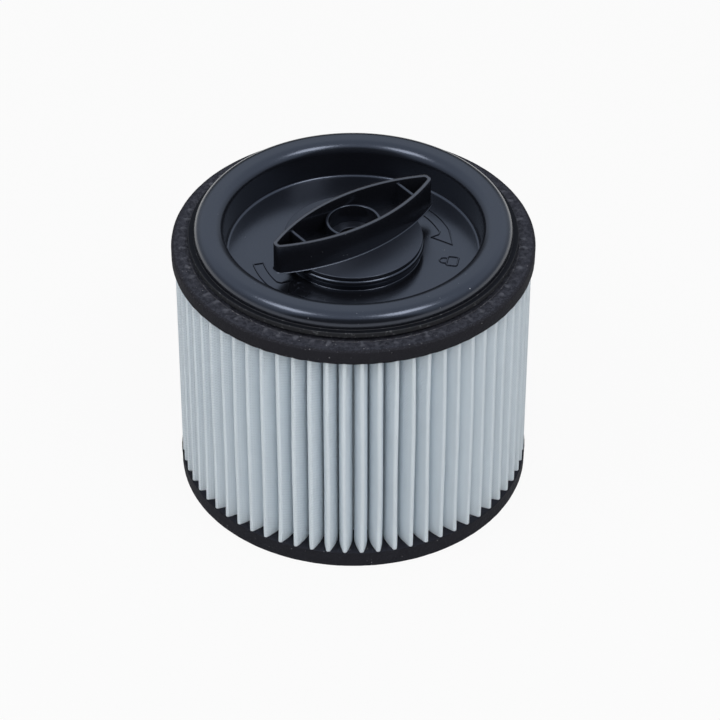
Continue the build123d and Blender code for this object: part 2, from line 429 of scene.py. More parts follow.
sheet_levels = [sheet_faces_at(row / pleat_rows) for row in range(pleat_rows + 1)]
outer_loops = [outer for outer, _ in sheet_levels]
inner_loops = [inner for _, inner in sheet_levels]
round_the_sheet = [inner_loops[0]] + outer_loops + list(reversed(inner_loops))
folded_sheet = make_piece(
    "folded_sheet", [skinned(round_the_sheet)],
    "cartridge", ["pleat_pack"], sharp_degrees=60,
)

# %% [markdown]
# ## Lid
#
# The lid is one injection moulding: a rolled rim, a sunk floor and a hub, with ribs below that keep the
# floor flat. Its section follows the solid's corners. A moulding has no knife edges, so every corner
# has at least a small round. A Bevel modifier could round the solid's own mesh, but the facets of its
# large rounds would stay, so the section is turned again with more steps.

# %% Turn the lid
lid_wall = 2.0
plug_clearance = 0.4
plug_wall = 2.9
plug_round = 1.6
floor_depth = 6.5
floor_round = 1.6
mouth_flare = 0.7
rim_width = 14.4
rim_round = 5.5
flange_reach = 2.7
flange_under = 2.0
flange_thickness = 2.6
flange_round = 0.35
hub_radius = 34.4
hub_drop = 0.15
bead_height = 3.4
bead_round = 1.4
neck_inset = 1.8
neck_round = 0.6
bearing_radius = 10.06
bearing_wall = 2.5
edge_round = 0.25
lid_segments = 288

plug_radius = bore_radius - plug_clearance
floor_radius = plug_radius - plug_wall
floor_top = cap_top - floor_depth
floor_under = floor_top - lid_wall
mouth_radius = floor_radius + mouth_flare
rim_radius = mouth_radius + rim_width
rim_top = lid_high.z
flange_radius = rim_radius + flange_reach
flange_foot = cap_top + flange_under
flange_top = flange_foot + flange_thickness
hub_top = cap_top - hub_drop
bead_foot = hub_top - bead_height
neck_radius = hub_radius - neck_inset
channel_top = rim_top - lid_wall
channel_share = (channel_top - floor_top) / (rim_top - floor_top)
channel_inner = floor_radius + mouth_flare * channel_share + lid_wall
channel_outer = rim_radius - lid_wall
bearing_outer = bearing_radius + bearing_wall

lid_section = rounded([
    ((bearing_radius, hub_top), edge_round),
    ((hub_radius, hub_top), bead_round),
    ((hub_radius, bead_foot), bead_round),
    ((neck_radius, bead_foot), edge_round),
    ((neck_radius, floor_top), neck_round),
    ((floor_radius, floor_top), floor_round),
    ((mouth_radius, rim_top), rim_round),
    ((rim_radius, rim_top), rim_round),
    ((rim_radius, flange_top), edge_round),
    ((flange_radius, flange_top), flange_round),
    ((flange_radius, flange_foot), flange_round),
    ((rim_radius, flange_foot), edge_round),
    ((rim_radius, cap_top), edge_round),
    ((channel_outer, cap_top), edge_round),
    ((channel_outer, channel_top), rim_round - lid_wall),
    ((channel_inner, channel_top), rim_round - lid_wall),
    ((plug_radius, cap_top), 0),
    ((plug_radius, floor_under), plug_round),
    ((neck_radius - lid_wall, floor_under), edge_round),
    ((neck_radius - lid_wall, hub_top - lid_wall), edge_round),
    ((bearing_outer, hub_top - lid_wall), edge_round),
    ((bearing_outer, lid_low.z), edge_round),
    ((bearing_radius, lid_low.z), edge_round),
], steps=10)
print("lid section points:", len(lid_section), "rim top", round(rim_top, 2))

# %% Ribs under the floor and webs under the rim
rib_count = 12
rib_thickness = 1.6
rib_depth = 4.0
web_count = 16

rib_outline = [
    (bearing_outer - bearing_wall / 2, floor_under + lid_wall / 2),
    (plug_radius - lid_wall / 2, floor_under + lid_wall / 2),
    (plug_radius - lid_wall, floor_under),
    (plug_radius - lid_wall - rib_depth, floor_under - rib_depth),
    (bearing_outer - bearing_wall / 2, floor_under - rib_depth),
]
web_outline = [
    (channel_outer + lid_wall / 2, flange_foot),
    (channel_outer + lid_wall / 2, channel_top - rim_round / 2),
    (channel_outer - rim_round / 2, channel_top + lid_wall / 2),
    (channel_inner + rim_round / 2, channel_top + lid_wall / 2),
    (channel_inner - lid_wall / 2, channel_top - rim_round / 2),
    (plug_radius - lid_wall / 2, flange_foot),
]
ribs = [plate(rib_outline, 2 * math.pi * turn / rib_count, rib_thickness) for turn in range(rib_count)]
webs = [plate(web_outline, 2 * math.pi * turn / web_count, rib_thickness) for turn in range(web_count)]
moulded_lid = make_piece(
    "moulded_lid", [turned(lid_section, lid_segments)] + ribs + webs, "cartridge", ["lid"]
)

# %% [markdown]
# ## Turning signs
#
# Two curved arrows and two signs are drawn on the floor in raised lines, which were engraved in the
# mould. They show which way the knob locks. A closed and an open padlock are the plain signs for that.
# Each line is a small trapezium carried along a path, so its near side turns away from the bright
# ceiling and draws dark. A bump would do from afar, but not on so glossy a floor.

# %% Raised lines
line_height = 0.5
line_foot = 0.55
line_top = 0.2
line_root = 0.1
line_section = [
    (-line_foot, -line_root),
    (-line_top, line_height),
    (line_top, line_height),
    (line_foot, -line_root),
]


def raised_line(path, closed=True):
    """A raised line with sloped sides along (x, y) points on the lid's floor."""
    points = [Vector(point) for point in path]
    last = len(points) - 1
    sections = []
    for index, point in enumerate(points):
        before = points[index - 1] if closed or index > 0 else point
        after = points[(index + 1) % len(points)] if closed or index < last else point
        along = (point - before).normalized() + (after - point).normalized()
        across = Vector((-along.y, along.x)).normalized()
        sections.append([(*(point + across * side), floor_top + rise) for side, rise in line_section])
    if closed:
        return skinned(sections + sections[:1])
    return skinned(sections, close_first=True, close_last=True)


def polar(radius, degrees):
    """Point on a circle round the axis at an angle in degrees."""
    angle = math.radians(degrees)
    return radius * math.cos(angle), radius * math.sin(angle)


def arc(radius, start, end, steps):
    """Points on a circle round the axis between two angles in degrees."""
    return [polar(radius, start + (end - start) * step / steps) for step in range(steps + 1)]


# %% Arrow and padlock signs
arrow_inner = 44.5
arrow_outer = 49.4
arrow_barb = 5.3
arrow_taper = 1.2
arrow_steps = 16
barb_degrees = 4
shoulder_degrees = 2.5
lock_width = 7.0
lock_height = 5.2
lock_corner = 0.9
shackle_radius = 2.0
shackle_leg = 1.6
shackle_steps = 14
# Degrees round the axis of an arrow's tail, neck and point.
lock_arrow = (46, 19, 4.5)
open_arrow = (-166, -145, -130.5)
# Radius and degrees of a padlock's place on the floor.
lock_sign = (46.0, -11.0)
open_sign = (39.5, -126.0)


def curved_arrow(tail, neck, point):
    """Outline of an arrow bent round the axis, with one barb towards the axis."""
    onward = math.copysign(1, point - tail)
    barb = polar(arrow_inner - arrow_barb, neck + barb_degrees * onward)
    tip = polar(arrow_outer - arrow_taper, point)
    shoulder = polar(arrow_inner - arrow_taper, neck + shoulder_degrees * onward)
    outside = arc(arrow_outer, tail, neck, arrow_steps)
    inside = arc(arrow_inner, neck, tail, arrow_steps)
    return outside + [tip, barb, shoulder] + inside


def placed(path, radius, angle):
    """A path drawn upright, set on the floor with its foot towards the rim."""
    turn = math.radians(angle)
    out = Vector((math.cos(turn), math.sin(turn)))
    along = Vector((-math.sin(turn), math.cos(turn)))
    return [out * (radius - y) - along * x for x, y in path]


lock_body = rounded([
    ((-lock_width / 2, -lock_height), lock_corner),
    ((lock_width / 2, -lock_height), lock_corner),
    ((lock_width / 2, 0), lock_corner),
    ((-lock_width / 2, 0), lock_corner),
], steps=4)


def shackle(shift, open_leg):
    """Bent bar over a padlock's body, moved sideways by the shift."""
    bar = [(shift + shackle_radius, 0)]
    for step in range(shackle_steps + 1):
        turn = math.pi * step / shackle_steps
        across = shift + shackle_radius * math.cos(turn)
        bar.append((across, shackle_leg + shackle_radius * math.sin(turn)))
    return bar + [(shift - shackle_radius, open_leg)]


sign_lines = [raised_line(curved_arrow(*arrow)) for arrow in (lock_arrow, open_arrow)]
for place, shift, open_leg in ((lock_sign, 0, 0), (open_sign, 2 * shackle_radius, shackle_leg)):
    sign_lines.append(raised_line(placed(lock_body, *place)))
    sign_lines.append(raised_line(placed(shackle(shift, open_leg), *place), closed=False))
floor_signs = make_piece("floor_signs", sign_lines, "cartridge", sharp_degrees=25)

# %% [markdown]
# ## Knob
#
# The knob is a second moulding: a disc, a stem that goes down through the hub, and a lens-shaped
# handle that is open on top, with a round well and two cross ribs inside. The handle's wall is one
# skin carried up the outside, over a rounded lip and down the inside. Solidify on a lens-shaped tube
# would do as well, but it can't give the wall its draft and the lip its round in one step.

# %% Disc and stem
stem_radius = 10.0
stem_bore = 7.0
disc_inset = 0.8
disc_gap = 0.3
disc_thickness = 1.7
disc_round = 0.5
key_drop = 18.3
stem_floor = 2.5
groove_depth = 1.6
groove_height = 2.0
screw_hole = 2.3
drive_width = 10.0
drive_overlap = 1.0
stem_segments = 192

disc_radius = hub_radius - disc_inset
disc_foot = hub_top + disc_gap
disc_top = disc_foot + disc_thickness
key_top = cap_top - key_drop
handle_top = knob_high.z
groove_middle = (seal_low.z + seal_high.z) / 2
groove_radius = stem_radius - groove_depth
stem_section = rounded([
    ((stem_bore, disc_top), edge_round),
    ((disc_radius, disc_top), disc_round),
    ((disc_radius, disc_foot), disc_round),
    ((stem_radius, disc_foot), edge_round),
    ((stem_radius, groove_middle + groove_height / 2), 0),
    ((groove_radius, groove_middle + groove_height / 2), 0),
    ((groove_radius, groove_middle - groove_height / 2), 0),
    ((stem_radius, groove_middle - groove_height / 2), 0),
    ((stem_radius, key_top), edge_round),
    ((screw_hole, key_top), 0),
    ((screw_hole, key_top + stem_floor), 0),
    ((stem_bore, key_top + stem_floor), edge_round),
])
drive_half = drive_width / math.sqrt(2)
drive_section = [
    (screw_hole, key_top + drive_overlap),
    (drive_half, key_top + drive_overlap),
    (drive_half, knob_low.z),
    (screw_hole, knob_low.z),
]
print("disc", round(disc_foot, 2), "to", round(disc_top, 2), "stem floor", round(key_top + stem_floor, 2))

# %% Sections of the handle
handle_angle = math.radians(37.2)
handle_half_length = 46.3
handle_half_width = 13.9
handle_flare = 0.5
handle_tip_width = 4.2
handle_tip_round = 1.6
tip_round_least = 0.5
tip_half_least = 0.12
arc_steps = 60
corner_steps = 6


def to_handle(x, y, z):
    """A place given along and across the handle, turned to the handle's own angle."""
    turn_cos = math.cos(handle_angle)
    turn_sin = math.sin(handle_angle)
    return Vector((x * turn_cos - y * turn_sin, x * turn_sin + y * turn_cos, z))


def lens_side(height, inset):
    """Radius and middle of the circle that a long side of the handle follows, and where it ends."""
    widening = handle_flare * (handle_top - height) / (handle_top - disc_top)
    half_tip = handle_tip_width / 2 + widening / 2
    rise = handle_half_width + widening - half_tip
    radius = (handle_half_length ** 2 + rise ** 2) / (2 * rise)
    return radius - inset, handle_half_width + widening - radius, handle_half_length - inset


def lens_width(x, height, inset):
    """Half width of the handle's section at a place along it."""
    radius, middle, _ = lens_side(height, inset)
    return middle + math.sqrt(radius ** 2 - x ** 2)


def lens_loop(height, inset):
    """One section of the handle, drawn in by the inset, as points round it."""
    end = lens_side(height, inset)[2]
    corner = max(handle_tip_round - inset / 2, tip_round_least)
    quarter = []
    for step in range(arc_steps // 2 + 1):
        x = (end - corner) * step / (arc_steps // 2)
        quarter.append((x, lens_width(x, height, inset)))
    start = Vector(quarter[-1])
    peak = Vector((end, lens_width(end, height, inset)))
    finish = Vector((end, max(peak.y - corner, tip_half_least)))
    for step in range(1, corner_steps + 1):
        share = step / corner_steps
        quarter.append(tuple(start.lerp(peak, share).lerp(peak.lerp(finish, share), share)))
    right_down = [(x, -y) for x, y in reversed(quarter)]
    left_down = [(-x, -y) for x, y in quarter[1:]]
    left_up = [(-x, y) for x, y in reversed(quarter)]
    return [to_handle(x, y, height) for x, y in quarter[1:] + right_down + left_down + left_up]


# %% Wall and floor of the handle
handle_wall = 1.9
handle_floor = 1.5
handle_sink = 0.3
lip_round = 0.55
lip_bevel = 0.3 * lip_round
foot_flare = 0.5
# Heights over the handle's root and over the disc, each with the share of the foot's flare there.
root_curve = [(0.0, 0.5), (0.15, 0.9)]
foot_curve = [(0.02, 1.0), (0.15, 0.6), (0.40, 0.2), (0.80, 0.0)]
well_radius = 13.4
well_wall = 1.6


def round_loop(loop, radius, height):
    """The circle point that faces each point of a loop."""
    return [Vector((point.x, point.y, 0)).normalized() * radius + Vector((0, 0, height)) for point in loop]


handle_foot = disc_top - handle_sink
inner_floor = handle_foot + handle_floor
wall_steps = [
    *[(handle_foot + rise, -share * foot_flare) for rise, share in root_curve],
    *[(disc_top + rise, -share * foot_flare) for rise, share in foot_curve],
    (handle_top - lip_round, 0.0),
    (handle_top - lip_bevel, lip_bevel),
    (handle_top, lip_round),
    (handle_top, handle_wall - lip_round),
    (handle_top - lip_bevel, handle_wall - lip_bevel),
    (handle_top - lip_round, handle_wall),
    (inner_floor, handle_wall),
]
wall_loops = [lens_loop(height, inset) for height, inset in wall_steps]
inside_well_wall = well_radius - well_wall / 2
foot_ring = round_loop(wall_loops[0], inside_well_wall, handle_foot)
floor_ring = round_loop(wall_loops[-1], inside_well_wall, inner_floor)
handle_shape = skinned([foot_ring] + wall_loops + [floor_ring, foot_ring])
print("handle loop points:", len(wall_loops[0]))

# %% Well and cross ribs
well_drop = 5.9
well_root = 0.5
well_segments = 128
cross_rib_offset = 32.0
cross_rib_thickness = 1.6
cross_rib_drop = 1.5
rib_tuck = 0.6

well_section = rounded([
    ((well_radius - well_wall, disc_top - well_root), 0),
    ((well_radius, disc_top - well_root), 0),
    ((well_radius, handle_top - well_drop), lip_round),
    ((well_radius - well_wall, handle_top - well_drop), lip_round),
])


def cross_rib(offset):
    """A thin wall across the handle with a rounded top edge."""
    top = handle_top - cross_rib_drop
    half = cross_rib_thickness / 2
    edge = rounded([
        ((offset - half, disc_top), 0),
        ((offset + half, disc_top), 0),
        ((offset + half, top), lip_round),
        ((offset - half, top), lip_round),
    ])
    reaches = [lens_width(x, z, handle_wall) + rib_tuck for x, z in edge]
    near = [to_handle(x, -reach, z) for (x, z), reach in zip(edge, reaches)]
    far = [to_handle(x, reach, z) for (x, z), reach in zip(edge, reaches)]
    return skinned([near, far], close_first=True, close_last=True)


twist_knob = make_piece(
    "twist_knob",
    [
        turned(stem_section, stem_segments),
        turned(drive_section, segments=4, start_angle=handle_angle + math.pi / 4),
        handle_shape,
        turned(well_section, well_segments),
        cross_rib(cross_rib_offset),
        cross_rib(-cross_rib_offset),
    ],
    "knob", ["lock_knob"],
)

# %% [markdown]
# ## Shader helper
#
# A finish is a small formula: where the dust lies, how the grain rises. Wired by hand, such a formula
# is a nest of Math nodes, so one class wraps a socket and turns Python's own operators into those
# nodes. Every other node comes from one method that takes its type, its settings and its inputs. The
# finishes, the floor and the room are all wired in this way.

# %% Sockets as numbers
class Reading:
    """A socket's value that can stand in a Python expression."""

    def __init__(self, wiring, socket):
        self.wiring = wiring
        self.socket = socket

    def maths(self, operation, *others):
        """A Math node on this value and others."""
        settings = {"operation": operation}
        inputs = dict(enumerate((self,) + others))
        return self.wiring.node("Math", settings, inputs)["Value"]

    def __add__(self, other):
        return self.maths("ADD", other)

    def __mul__(self, other):
        return self.maths("MULTIPLY", other)

    def __sub__(self, other):
        return self.maths("SUBTRACT", other)

    def __rsub__(self, other):
        return self.maths("MULTIPLY", -1.0) + other

    __radd__ = __add__
    __rmul__ = __mul__

    def between(self, low, high, start=0.0, end=1.0):
        """The start below the low value, the end above the high value and a soft step between them."""
        settings = {"interpolation_type": "SMOOTHSTEP"}
        inputs = {"Value": self, "From Min": low, "From Max": high, "To Min": start, "To Max": end}
        return self.wiring.node("MapRange", settings, inputs)["Result"]

    def band(self, middle, half_width, softness):
        """1 within the half width of the middle, and 0 beyond it."""
        away = (self - middle).maths("ABSOLUTE")
        return 1 - away.between(half_width, half_width + softness)


# %% Nodes from one method
class Wiring:
    """A node tree that is filled from Python expressions."""

    def __init__(self, tree):
        self.tree = tree

    def fill(self, socket, value):
        """Links a reading to a socket, or sets a plain value on it."""
        if isinstance(value, Reading):
            self.tree.links.new(value.socket, socket)
        else:
            socket.default_value = value

    def node(self, kind, settings=None, inputs=None):
        """A new node: its settings are set first, then its inputs are filled. Returns its outputs."""
        made = self.tree.nodes.new("ShaderNode" + kind)
        for key, value in (settings or {}).items():
            setattr(made, key, value)
        for key, value in (inputs or {}).items():
            self.fill(made.inputs[key], value)
        return {output.name: Reading(self, output) for output in made.outputs if output.enabled}

    def blend(self, factor, first, second):
        """Colour that goes from the first to the second as the factor goes from 0 to 1."""
        colours = [value if isinstance(value, Reading) else (*value, 1.0) for value in (first, second)]
        inputs = {0: factor, 6: colours[0], 7: colours[1]}
        return self.node("Mix", {"data_type": "RGBA"}, inputs)["Result"]


# %% A finish on the object
class Finish(Wiring):
    """A material whose shader is fed from readings of the place on the object, in millimetres."""

    def __init__(self, name, **constants):
        self.material = bpy.data.materials.new(name)
        self.material.use_nodes = True
        super().__init__(self.material.node_tree)
        self.shader = self.tree.nodes["Principled BSDF"]
        self.feed(**constants)
        metres = self.node("TexCoord")["Object"]
        scaling = {0: metres, "Scale": 1 / METRES}
        self.place = self.node("VectorMath", {"operation": "SCALE"}, scaling)["Vector"]
        apart = self.node("SeparateXYZ", None, {"Vector": self.place})
        self.x, self.y, self.z = apart["X"], apart["Y"], apart["Z"]
        self.radius = (self.x * self.x + self.y * self.y).maths("SQRT")
        self.turns = self.y.maths("ARCTAN2", self.x) * (1 / (2 * math.pi))

    def feed(self, **inputs):
        """Fills the shader's own sockets with readings or plain values."""
        for socket, value in inputs.items():
            self.fill(self.shader.inputs[socket.replace("_", " ")], value)

    def towards_front(self, start, full):
        """0 behind the start and 1 in front of the full, as distances before the axis."""
        return (0 - self.y).between(start, full)

    def grain(self, size, detail=2.0, stretch=None):
        """Soft noise from 0 to 1 whose blobs are about the size in millimetres."""
        place = self.place
        if stretch is not None:
            place = self.node("VectorMath", {"operation": "MULTIPLY"}, {0: place, 1: stretch})["Vector"]
        return self.node("TexNoise", None, {"Vector": place, "Scale": 1 / size, "Detail": detail})["Fac"]

    def specks(self, spacing, largest, share):
        """Round dust specks: a share of the cells of a spaced pattern holds one of up to a size."""
        cells = self.node("TexVoronoi", None, {"Vector": self.place, "Scale": 1 / spacing})
        luck = self.node("SeparateColor", None, {"Color": cells["Color"]})
        size = luck["Red"] * (largest / spacing)
        spot = (size - cells["Distance"]).between(0.0, 0.04)
        chosen = luck["Green"].between(1 - share, 1 - share + 0.02)
        return spot * chosen

    def bump(self, height, rise):
        """Feeds the normal from a height, whose full range is the rise in millimetres."""
        inputs = {"Height": height, "Distance": rise * METRES, "Strength": 1.0}
        self.feed(Normal=self.node("Bump", None, inputs)["Normal"])


def wear(finish, *pieces):
    """Gives pieces a finish."""
    for piece in pieces:
        piece.data.materials.clear()
        piece.data.materials.append(finish.material)
    print(finish.material.name, "on", ", ".join(piece.name for piece in pieces))


# %% [markdown]
# ## Lid plastic
#
# The lid and the knob are polypropylene, black with a little blue in its gloss. The mould was blasted
# to a fine satin, so the floor mirrors what stands round it in a soft way: pale where it mirrors the
# room and nearly black where it mirrors the rim. That comes from a dark base, a clear gloss and an even
# roughness. Dust lies in patches, most of it towards the front, and the lips of the handle are painted
# paler, a painted highlight along their rounded edge. The flange round the rim is duller and keeps pale
# lines along its edges, partly dust and partly a painted highlight of the edges. The gloss is one
# constant on the shader, so the flange's faces get a second material and not a mask.

# %% Satin black plastic
gloss_tint = (0.74, 0.82, 1.0, 1.0)
satin_blacks = ((0.0040, 0.0044, 0.0062), (0.0062, 0.0068, 0.0092))
# Paler grey for the handle's lips: a painted highlight along their rounded edge.
lip_highlight_grey = (0.045, 0.046, 0.050)
lid_dust_grey = (0.40, 0.41, 0.44)


def satin_plastic(name, lip_height=None):
    """Black moulded plastic, with a painted highlight on the lips at a height if one is given."""
    finish = Finish(name, IOR=1.7, Specular_Tint=gloss_tint)
    cloud = finish.grain(size=14, detail=3)
    fine = finish.grain(size=0.5)
    dust_area = finish.grain(size=9).between(0.42, 0.62) * finish.towards_front(-30, 40)
    dust = finish.specks(spacing=2.6, largest=0.34, share=0.10) * dust_area
    haze = finish.specks(spacing=0.9, largest=0.20, share=0.10) * dust_area * 0.5
    base = finish.blend(cloud, *satin_blacks)
    roughness = 0.17 + 0.06 * cloud + 0.04 * fine + 0.4 * dust
    if lip_height is not None:
        # The top of the lip is painted paler here: a painted highlight along the handle's rounded lip.
        painted_lip_highlight = (finish.z - lip_height).between(-0.5, -0.1) * (0.5 + 0.5 * fine)
        base = finish.blend(painted_lip_highlight, base, lip_highlight_grey)
        roughness = roughness + 0.14 * (1 - (finish.z - disc_top).between(0.05, 0.3))
    base = finish.blend(dust + haze, base, lid_dust_grey)
    finish.feed(Base_Color=base, Roughness=roughness)
    finish.bump(fine + 1.5 * dust, rise=0.012)
    return finish


wear(satin_plastic("satin_black_plastic"), moulded_lid, floor_signs, frame["nodes"]["bayonet_key"])
wear(satin_plastic("satin_black_knob", handle_top), twist_knob)

# %% Dull flange
flange_blacks = ((0.0030, 0.0032, 0.0042), (0.0060, 0.0062, 0.0078))
# Pale grey of the flange's edge lines: partly dust and partly a painted highlight of the edges.
flange_dust_and_highlight_grey = (0.30, 0.31, 0.33)
dust_and_highlight_line = 0.12
flange_margin = 0.02
flange_rise = 0.3


def dull_flange():
    """Unpolished black plastic of the flange, which lies in the rim's shade and holds dust, with a painted
    highlight along its edges.
    """
    finish = Finish("dull_flange", IOR=1.22, Specular_Tint=gloss_tint)
    cloud = finish.grain(size=5, detail=3)
    # Pale lines along both edges of the flange's top, towards the front: partly dust and partly a painted
    # highlight of the edges.
    outer_line = finish.radius.band(flange_radius - 0.15, dust_and_highlight_line, dust_and_highlight_line)
    inner_line = finish.radius.band(rim_radius + 0.2, dust_and_highlight_line, dust_and_highlight_line)
    sparkle = finish.grain(size=1.6).between(0.58, 0.72)
    dust = (outer_line + inner_line).maths("MINIMUM", 1.0) * (0.25 + 0.75 * sparkle)
    dust = dust * finish.towards_front(-20, 60)
    base = finish.blend(cloud, *flange_blacks)
    base = finish.blend(dust * 0.3, base, flange_dust_and_highlight_grey)
    finish.feed(Base_Color=base, Roughness=0.45 + 0.2 * cloud)
    finish.bump(cloud + dust, rise=0.03)
    return finish


moulded_lid.data.materials.append(dull_flange().material)
flange_faces = 0
for face in moulded_lid.data.polygons:
    middle = face.center / METRES
    outside_rim = math.hypot(middle.x, middle.y) > rim_radius + flange_margin
    if outside_rim and middle.z < flange_top + flange_rise:
        face.material_index = 1
        flange_faces += 1
print("dull flange faces:", flange_faces)

# %% [markdown]
# ## Foam rubber
#
# The caps are matte foam, black with a little blue. Lumps and open pores break the black of the upper
# face, and that face is painted paler than the outer wall, which is painted darker: a painted sheen on
# the face and painted shade on the wall. The crests of the ridges over the pleats' ends carry a painted
# highlight, and where the ends lie deeper only a faint zigzag shows. Pale dust sits in specks and along
# the lid's edge, most of it towards the front. It could be painted on an unwrapped ring, but here it is
# worked out from the place on the ring and the height of the skin, so it goes round the cap as the
# pleats do.

# %% Cap finish
foam_blacks = ((0.0150, 0.0160, 0.0215), (0.0260, 0.0275, 0.0365))
# Painted shade: a darker black for the cap's outer wall.
foam_wall_shade = (0.0160, 0.0158, 0.0198)
# Painted sheen on the upper face, carried by the foam's own lumps.
foam_lump_and_sheen_grey = (0.054, 0.057, 0.074)
foam_pore_grey = (0.060, 0.063, 0.078)
# Painted highlight on the ridges' crests, and the faint zigzag of the pleats' ends.
ridge_mark_and_highlight_grey = (0.078, 0.082, 0.100)
foam_dust_grey = (0.28, 0.28, 0.30)
zigzag_radius = flange_radius + 1.4
zigzag_depth = 3.4
edge_dust_radius = flange_radius + 0.7


def foam_rubber():
    """Matte black foam with the pleats' ends showing through its upper face, a painted highlight on the
    ridges' crests, a painted sheen on that face and painted shade on its outer wall.
    """
    finish = Finish("foam_rubber", IOR=1.45, Specular_IOR_Level=0.12)
    pores = finish.grain(size=0.6, detail=3)
    lumps = finish.grain(size=2.4)
    cloud = finish.grain(size=9, detail=3)
    on_top = finish.z.between(cap_top - 0.6, cap_top - 0.3)
    on_side = finish.radius.between(pleat_tip_radius - 0.2, pleat_tip_radius + 0.6)
    # From this height up, the ridges' crests get a painted highlight.
    raised = finish.z.between(cap_top + 0.35, cap_top + 0.95)
    wave = ((finish.turns * pleat_count).maths("FRACT") - 0.5).maths("ABSOLUTE") * 2
    zigzag = (finish.radius - wave * zigzag_depth).band(zigzag_radius, 0.3, 0.6)
    pleat_marks_and_crest_highlight = raised + zigzag * (1 - cloud.between(0.36, 0.62)) * 0.3 * on_top
    front = finish.towards_front(-25, 55)
    specks = finish.specks(spacing=1.0, largest=0.30, share=0.16) * front
    specks = specks * finish.grain(size=6).between(0.45, 0.6)
    sparkle = finish.grain(size=1.3).between(0.52, 0.7)
    edge_dust = finish.radius.band(edge_dust_radius, 0.12, 0.3) * on_top * (0.12 + 0.4 * sparkle) * front
    base = finish.blend(cloud, *foam_blacks)
    # The upper face is painted paler, a painted sheen, and the outer wall darker, a painted shade.
    base = finish.blend(lumps.between(0.38, 0.62) * on_top * 0.45, base, foam_lump_and_sheen_grey)
    base = finish.blend(on_side * 0.9, base, foam_wall_shade)
    base = finish.blend(pores.between(0.5, 0.68) * on_top * 0.5, base, foam_pore_grey)
    base = finish.blend(pleat_marks_and_crest_highlight, base, ridge_mark_and_highlight_grey)
    base = finish.blend(edge_dust + specks, base, foam_dust_grey)
    finish.feed(Base_Color=base, Roughness=0.66 + 0.25 * pores)
    finish.bump(0.3 * pores + 0.6 * lumps + 0.4 * specks, rise=1.0)
    return finish


wear(foam_rubber(), upper_ring, lower_ring, frame["nodes"]["shaft_seal"])

# %% [markdown]
# ## Filter sheet
#
# The sheet is spun-bonded polyester, cool white and matte, with small bond points pressed into it on
# the slant. Its fibres and its uneven thickness cloud the white a little, and the tips of the pleats,
# which catch what passes, are a little greyer. The bond points could follow an unwrapped sheet, but
# the depth of the pleat and its height unroll it well enough on both flanks.

# %% Non-woven sheet
sheet_whites = ((0.770, 0.845, 0.905), (0.810, 0.885, 0.940))
sheet_tip_grey = (0.735, 0.815, 0.875)
sheet_fibre_grey = (0.64, 0.715, 0.775)
sheet_bond_grey = (0.58, 0.655, 0.715)
bond_pitch = 1.6


def bonded_sheet():
    """Cool white non-woven with bond points."""
    finish = Finish("bonded_sheet", IOR=1.4)
    within = (finish.turns * pleat_count + 0.5).maths("FRACT") - 0.5
    along = finish.radius + within * (2 * half_pitch * pleat_tip_radius)
    rising = ((along + finish.z) * (math.pi / bond_pitch)).maths("SINE")
    falling = ((along - finish.z) * (math.pi / bond_pitch)).maths("SINE")
    bonds = (rising * falling).maths("ABSOLUTE").between(0.55, 0.9)
    fibres = finish.grain(size=0.55, detail=3, stretch=(1.0, 1.0, 0.35))
    cloud = finish.grain(size=7, detail=3)
    tip = finish.radius.between(pleat_tip_radius - 2.6, pleat_tip_radius - 0.3)
    base = finish.blend(cloud, *sheet_whites)
    base = finish.blend(tip * 0.5, base, sheet_tip_grey)
    base = finish.blend(fibres.between(0.35, 0.75) * 0.25, base, sheet_fibre_grey)
    base = finish.blend(bonds * 0.4, base, sheet_bond_grey)
    finish.feed(Base_Color=base, Roughness=0.72 + 0.2 * fibres)
    finish.bump(fibres * 0.6 - bonds, rise=0.2)
    return finish


wear(bonded_sheet(), folded_sheet)

# %% [markdown]
# ## Core plastic and zinc
#
# The lattice inside is unblasted black polypropylene, seen only from below. The screw and its washer
# are zinc plated: pale metal with a fine turned grain round their axis. Pieces so small or so hidden
# need no more than a little noise and, on the metal, rings in the bump.

# %% Inside finishes
core_blacks = ((0.012, 0.012, 0.013), (0.020, 0.020, 0.021))
zinc_greys = ((0.36, 0.36, 0.37), (0.52, 0.52, 0.53))


def core_plastic():
    """Plain black moulded lattice with flow marks along its bars."""
    finish = Finish("lattice_plastic", IOR=1.5)
    flow = finish.grain(size=3, detail=3, stretch=(1.0, 1.0, 0.2))
    finish.feed(Base_Color=finish.blend(flow, *core_blacks), Roughness=0.45 + 0.15 * flow)
    finish.bump(flow, rise=0.03)
    return finish


def zinc():
    """Zinc plate with turning marks round the axis and a dull patina."""
    finish = Finish("zinc_plate", Metallic=1.0)
    rings = (finish.radius * 9 + finish.grain(size=1.2) * 2).maths("SINE") * 0.5 + 0.5
    patina = finish.grain(size=1.5, detail=3)
    finish.feed(Base_Color=finish.blend(patina, *zinc_greys), Roughness=0.34 + 0.15 * patina)
    finish.bump(rings, rise=0.01)
    return finish


wear(core_plastic(), frame["nodes"]["support_core"])
wear(zinc(), frame["nodes"]["knob_screw"], frame["nodes"]["screw_washer"])

# %% [markdown]
# ## Floor and room
#
# The filter stands on a white sweep in a white room. The camera sees both as white, while the light
# that they throw on the object is lower, so the pale sheet keeps its shading. The floor is mostly its
# own white and partly lit, so it keeps a soft shadow, and it is clear from below, where the foot of the
# filter can be seen through it. Gloss sees the room in another shape: bright overhead, with dimmer
# walls that are darkest in front and low behind, and a little blue. That gives the black lid its
# depth. A picture of a studio would do it too, but a few soft steps on a ray's direction are enough.

# %% Floor
sweep_radius = 3.0
sweep_segments = 96
sweep_gap = 0.0002
sweep_white = (0.50, 0.50, 0.50, 1.0)
sweep_glow = 0.93

